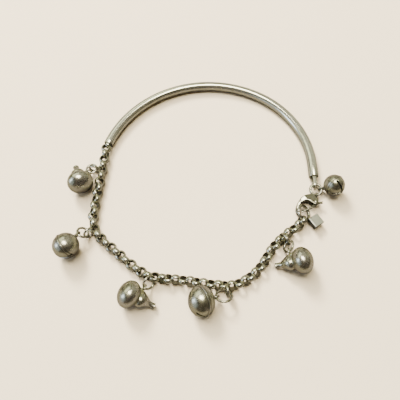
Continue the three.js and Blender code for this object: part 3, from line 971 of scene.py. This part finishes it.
plan = [*lever_root(**LEVER_ROOT), *smooth_line(LEVER_ARM, ARM_STEPS), *LEVER_NUB]
lever = cut_from_outline("clasp_thumb_lever", plan, LEVER["high"] - LEVER["low"])
lay(lever, Matrix.Translation(in_mm(0, 0, LEVER["low"])))
soften_edges(lever, LEVER["edge"] * MM, segments=3, angle=40)
hole = post("lever_hole", PIN["hole"], LEVER["low"] - HOLE_PAST, LEVER["high"] + HOLE_PAST)
combine(lever, hole, "DIFFERENCE")
finish_piece(lay(lever, DRAWING @ clasp_on_drawing), "clasp_lever", "cast_silver", body="clasp_lever")

# %% [markdown]
# ## The square tag
#
# A thick square of pale metal hangs on the clasp's ring by a small eye. It is plain on both faces. The
# plate is gently arched, which a Simple Deform modifier does once there are enough faces to follow.

# %% Tag
TAG = {"long": 3.0, "wide": 2.8, "thick": 1.3, "edge": 0.16, "arch": 24, "cuts": 9}
TAG_PLACE = {"x": 29.5, "y": -6.6, "z": 1.6, "heading": 33}
TAG_EYE = {"x": 27.72, "y": -5.76, "z": 0.87, "radius": 0.6, "wire": 0.36, "lean": 63, "heading": 224}


def square_tag():
    clear_bench()
    bpy.ops.mesh.primitive_cube_add(size=MM)
    edit_all()
    bpy.ops.mesh.subdivide(number_cuts=TAG["cuts"])
    bpy.ops.transform.resize(value=(TAG["long"], TAG["wide"], TAG["thick"]))
    tag = keep("tag_square")
    soften_edges(tag, TAG["edge"] * MM, segments=3, angle=40)
    modify(tag, "SIMPLE_DEFORM", deform_method="BEND", deform_axis="Y", angle=math.radians(TAG["arch"]))
    at = in_mm(TAG_PLACE["x"], TAG_PLACE["y"], TAG_PLACE["z"])
    lay(tag, Matrix.Translation(at) @ turned(TAG_PLACE["heading"], "Z"))
    eye = wound_ring("tag_eye", TAG_EYE["radius"], TAG_EYE["wire"])
    turn = aim(heading(TAG_EYE["heading"], 90 - TAG_EYE["lean"]))
    combine(tag, lay(eye, Matrix.Translation(in_mm(TAG_EYE["x"], TAG_EYE["y"], TAG_EYE["z"])) @ turn))
    return tag


finish_piece(lay(square_tag(), DRAWING), "square_tag", "pale_tag")

# %% [markdown]
# ## Writing a material as sums
#
# A material is a small machine of nodes. Written as Python, a Signal stands for one output, and adding to
# it, multiplying it or taking it away makes the Math node that does so. Every other node comes from
# `node`.

# %% Signals and finishes
# The outputs that are read, counted from the node's first one, and the colour sockets of a Mix node.
MIX = {"share": 0, "first": 6, "second": 7, "result": 2}
OBJECT_PLACE = 3
NORMAL = 1
BACKWARD = 1
UPWARD = 2
FACTOR = 2
GLOSSY_RAY = 3


class Signal:
    """One output of a node, which can be used in a sum."""

    def __init__(self, finish, socket):
        self.finish = finish
        self.socket = socket

    def sum(self, operation, first, second):
        return self.finish.node("ShaderNodeMath", {"operation": operation}, {0: first, 1: second})

    def __add__(self, other):
        return self.sum("ADD", self, other)

    def __rsub__(self, other):
        return self.sum("SUBTRACT", other, self)

    def __mul__(self, other):
        return self.sum("MULTIPLY", self, other)

    __radd__ = __add__
    __rmul__ = __mul__


class Finish:
    """A material or a world whose shader is fed by signals."""

    def __init__(self, owner, shader="Principled BSDF"):
        owner.use_nodes = True
        self.owner = owner
        self.tree = owner.node_tree
        self.shader = self.tree.nodes[shader]

    def node(self, kind, settings=None, inputs=None, output=0):
        """Adds a node: first its settings, then the values or links of its sockets."""
        made = self.tree.nodes.new(kind)
        for name, value in (settings or {}).items():
            setattr(made, name, value)
        for name, value in (inputs or {}).items():
            self.feed(made.inputs[name], value)
        return Signal(self, made.outputs[output])

    def feed(self, socket, value):
        if isinstance(value, Signal):
            self.tree.links.new(value.socket, socket)
        else:
            socket.default_value = value

    def set(self, **inputs):
        """Feeds the shader itself: base_color is its socket Base Color."""
        for name, value in inputs.items():
            self.feed(self.shader.inputs[name.replace("_", " ").title()], value)

    def noise(self, per_mm, detail, roughness, stretch=(1, 1, 1)):
        """Noise on the object's own coordinates, with so many patches to a millimetre."""
        place = self.node("ShaderNodeTexCoord", output=OBJECT_PLACE)
        mapped = self.node("ShaderNodeMapping", {}, {"Vector": place, "Scale": stretch})
        inputs = {"Vector": mapped, "Scale": per_mm / MM, "Detail": detail, "Roughness": roughness}
        return self.node("ShaderNodeTexNoise", {}, inputs)

    def between(self, signal, low, high):
        """0 below low, 1 above high, and smooth between them."""
        settings = {"interpolation_type": "SMOOTHSTEP"}
        inputs = {"Value": signal, "From Min": low, "From Max": high}
        return self.node("ShaderNodeMapRange", settings, inputs)

    def blend(self, share, first, second):
        """From the first colour to the second. Either may be a signal or three numbers."""
        ends = [end if isinstance(end, Signal) else (*end, 1) for end in (first, second)]
        settings = {"data_type": "RGBA", "clamp_factor": True}
        inputs = {MIX["share"]: share, MIX["first"]: ends[0], MIX["second"]: ends[1]}
        return self.node("ShaderNodeMix", settings, inputs, output=MIX["result"])


# %% [markdown]
# ## Worn silver with painted shade
#
# The silver is bright and slightly warm on its upper faces. On the flanks and underneath it is painted
# brown-olive as painted shade, by which way the surface faces. Inside the links the darker colour is
# tarnish and painted shade, and along the bells' seams it is tarnish. Soft noise breaks it up with dirt.
# Small dents and fine scratches go into the bump, and the roughness grows with the painted shade, the
# tarnish and the dirt.
#
# All the metals share this finish. The tube has lighter painted shade on its flanks, is smoother and a
# shade less metallic than the charms, the clasp is a darker casting, and the tag is pale and matt.

# %% Silver
# Patches to a millimetre, detail, roughness and stretch.
NOISES = {
    "cloud": (0.5, 4.0, 0.6),
    "specks": (3.2, 3.0, 0.6),
    "tint": (0.3, 2.0, 0.5),
    "dents": (0.8, 2.0, 0.5),
    "dimples": (2.6, 2.0, 0.5),
    "scratches": (9.0, 2.0, 0.6, (1, 0.15, 0.4)),
}
# Where each of them begins to show in the colour, and where it shows in full.
RANGES = {"cloud": (0.48, 0.72), "specks": (0.58, 0.78), "tint": (0.4, 0.62)}
# Painted shade: a surface whose normal points up less than this range is painted fully dark, above it not
# at all.
FACING_UP = (-0.2, 0.7)
# Weights of the darker colour: the marked insides as tarnish and painted shade, clouds and specks as dirt.
DIRT_AND_SHADE = {"tarnish_and_shade": 0.75, "cloud": 0.22, "specks": 0.16}
ROUGHER = {"shade": 0.12, "specks": 0.06}
RELIEF = {"dimples": 0.3, "scratches": 0.1}
BUMP = {"Strength": 0.6, "Distance": 0.05 * MM}
# Each metal has a name, a bright upper colour, a random olive tint, a dark colour for dirt, tarnish and
# painted shade, how much painted shade its flanks get, a roughness, a dent depth and how metallic it is.
METALS = table(
    "name bright olive dark grime rough dent metal",
    ("polished_silver", (0.72, 0.68, 0.58), (0.62, 0.60, 0.44), (0.15, 0.13, 0.10), 0.72, 0.23, 1.3, 1.0),
    ("chain_silver", (0.84, 0.81, 0.67), (0.74, 0.72, 0.52), (0.17, 0.155, 0.10), 0.7, 0.2, 0.4, 1.0),
    ("tube_silver", (0.86, 0.83, 0.68), (0.80, 0.78, 0.61), (0.42, 0.40, 0.31), 0.8, 0.14, 0.15, 0.94),
    ("cast_silver", (0.56, 0.53, 0.43), (0.48, 0.46, 0.35), (0.08, 0.07, 0.045), 0.8, 0.1, 1.6, 1.0),
    ("pale_tag", (0.98, 0.98, 0.86), (0.94, 0.95, 0.82), (0.09, 0.085, 0.06), 0.95, 0.42, 0.5, 1.0),
)


def worn_and_shaded_silver(name, bright, olive, dark, grime, rough, dent, metal):
    finish = Finish(bpy.data.materials.new(name))
    normal = finish.node("ShaderNodeNewGeometry", output=NORMAL)
    upward = finish.node("ShaderNodeSeparateXYZ", {}, {"Vector": normal}, output=UPWARD)
    tarnish_and_shade = finish.node("ShaderNodeAttribute", {"attribute_name": "tarnish_and_shade"}, output=FACTOR)
    noise = {name: finish.noise(*form) for name, form in NOISES.items()}
    shown = {name: finish.between(noise[name], *span) for name, span in RANGES.items()}
    # Painted shade: flanks and undersides are darkened by which way they face. The marked insides of the
    # links are darkened as tarnish and painted shade, the bells' seams as tarnish, and clouds and specks
    # add dirt.
    flank = 1 - finish.between(upward, *FACING_UP)
    soiled = shown["cloud"] * DIRT_AND_SHADE["cloud"] + shown["specks"] * DIRT_AND_SHADE["specks"]
    shade = flank * grime + tarnish_and_shade * DIRT_AND_SHADE["tarnish_and_shade"] + soiled
    unshaded_tone = finish.blend(shown["tint"], bright, olive)
    finish.set(base_color=finish.blend(shade, unshaded_tone, dark), metallic=metal)
    finish.set(roughness=rough + shade * ROUGHER["shade"] + noise["specks"] * ROUGHER["specks"])
    dents = noise["dents"] + noise["dimples"] * RELIEF["dimples"]
    height = dents * dent + noise["scratches"] * RELIEF["scratches"]
    finish.set(normal=finish.node("ShaderNodeBump", {}, {**BUMP, "Height": height}))
    return finish.owner


metals = {row["name"]: worn_and_shaded_silver(**row) for row in METALS}
for piece in pieces:
    metal = "tube_silver" if piece is tube else piece["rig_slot"]
    piece.data.materials.clear()
    piece.data.materials.append(metals[metal])
print("metals:", ", ".join(metals))

# %% [markdown]
# ## Floor finish
#
# The table is a matt, warm off-white. A hint of noise keeps it from looking painted. Polished metal on a
# pale table gets a glaring white rim, so the reflections see a darker table, as if a grey card with a
# hole in it lay around each piece. The Light Path node tells those rays apart.

# %% Floor finish
PALE = [(0.90, 0.735, 0.505), (0.92, 0.755, 0.525)]
PALE_MIRRORED = (0.15, 0.13, 0.10)

matt = Finish(bpy.data.materials.new("pale_table"))
pale = matt.blend(matt.noise(0.05, 2.0, 0.5), *PALE)
mirrored = matt.node("ShaderNodeLightPath", output=GLOSSY_RAY)
matt.set(base_color=matt.blend(mirrored, pale, PALE_MIRRORED), roughness=0.9)
floor.data.materials.append(matt.owner)

# %% [markdown]
# ## Light
#
# Metal shows what is around it. A cream ceiling lamp makes the highlight in the middle of each charm and
# the long line on the tube. A greenish panel up on the left shades their upper sides. Low on the left a
# cool window makes a bluish spot, and a wide, faint wall beside it spreads that blue.
#
# Two more panels light the table and the bracelet without being mirrored, because none like them shows in
# the metal: a wide fill, and a small strong lamp that throws the soft shadows down to the right.

# %% Lights
LAMPS = table(
    "name azimuth lift wide tall radiance colour mirrored",
    ("wide_fill", 132, 55, 0.75, 0.75, 9.6, (0.98, 0.975, 0.98), False),
    ("shadow_lamp", 118, 38, 0.26, 0.26, 130.0, (1.0, 0.975, 0.89), False),
    ("green_panel", 130, 45, 0.9, 0.5, 1.6, (0.95, 1.0, 0.72), True),
    ("cool_window", 190, 24, 0.3, 0.5, 4.2, (0.66, 0.8, 1.0), True),
    ("cool_wall", 200, 20, 1.1, 0.9, 0.45, (0.7, 0.84, 1.0), True),
    ("ceiling_lamp", 80, 84, 0.5, 0.32, 17.0, (1.0, 0.95, 0.76), True),
)


def softbox(name, azimuth, lift, wide, tall, radiance, colour, mirrored):
    """A panel a metre away that shines with the same brightness whatever its size."""
    direction = heading(azimuth, lift)
    bpy.ops.object.light_add(type="AREA", location=direction)
    lamp = bpy.context.object
    lamp.name = name
    lamp.rotation_euler = direction.to_track_quat("Z", "Y").to_euler()
    lamp.data.shape = "RECTANGLE"
    lamp.data.size, lamp.data.size_y = wide, tall
    lamp.data.energy = math.pi * wide * tall * radiance
    lamp.data.color = colour
    lamp.visible_glossy = mirrored


for lamp in LAMPS:
    softbox(**lamp)

# %% [markdown]
# ## The room
#
# The room is dim: brown on the near side, a brighter olive at the back, and broken up by dark clutter,
# which gives the metal something to mirror. The camera sees a pale backdrop in its place, where a low
# view looks past the table's edge.

# %% Room
BACKDROP = (1.9, 1.78, 1.62)
ROOM_NEAR = (0.12, 0.10, 0.08)
ROOM_BACK = (0.5, 0.5, 0.36)
NEAR_TO_BACK = (-0.5, 0.8)
CLUTTER = (0.03, 0.028, 0.02)
CLUTTERED = (0.46, 0.6)

room = Finish(bpy.data.worlds.new("room"), "Background")
bpy.context.scene.world = room.owner
around = room.node("ShaderNodeTexCoord")
back = room.node("ShaderNodeSeparateXYZ", {}, {"Vector": around}, output=BACKWARD)
walls = room.blend(room.between(back, *NEAR_TO_BACK), ROOM_NEAR, ROOM_BACK)
things = room.node("ShaderNodeTexNoise", {}, {"Vector": around, "Scale": 3.2, "Detail": 3.0})
walls = room.blend(room.between(things, *CLUTTERED), walls, CLUTTER)
seen = room.node("ShaderNodeLightPath")
room.set(color=room.blend(seen, walls, BACKDROP), strength=1.0)
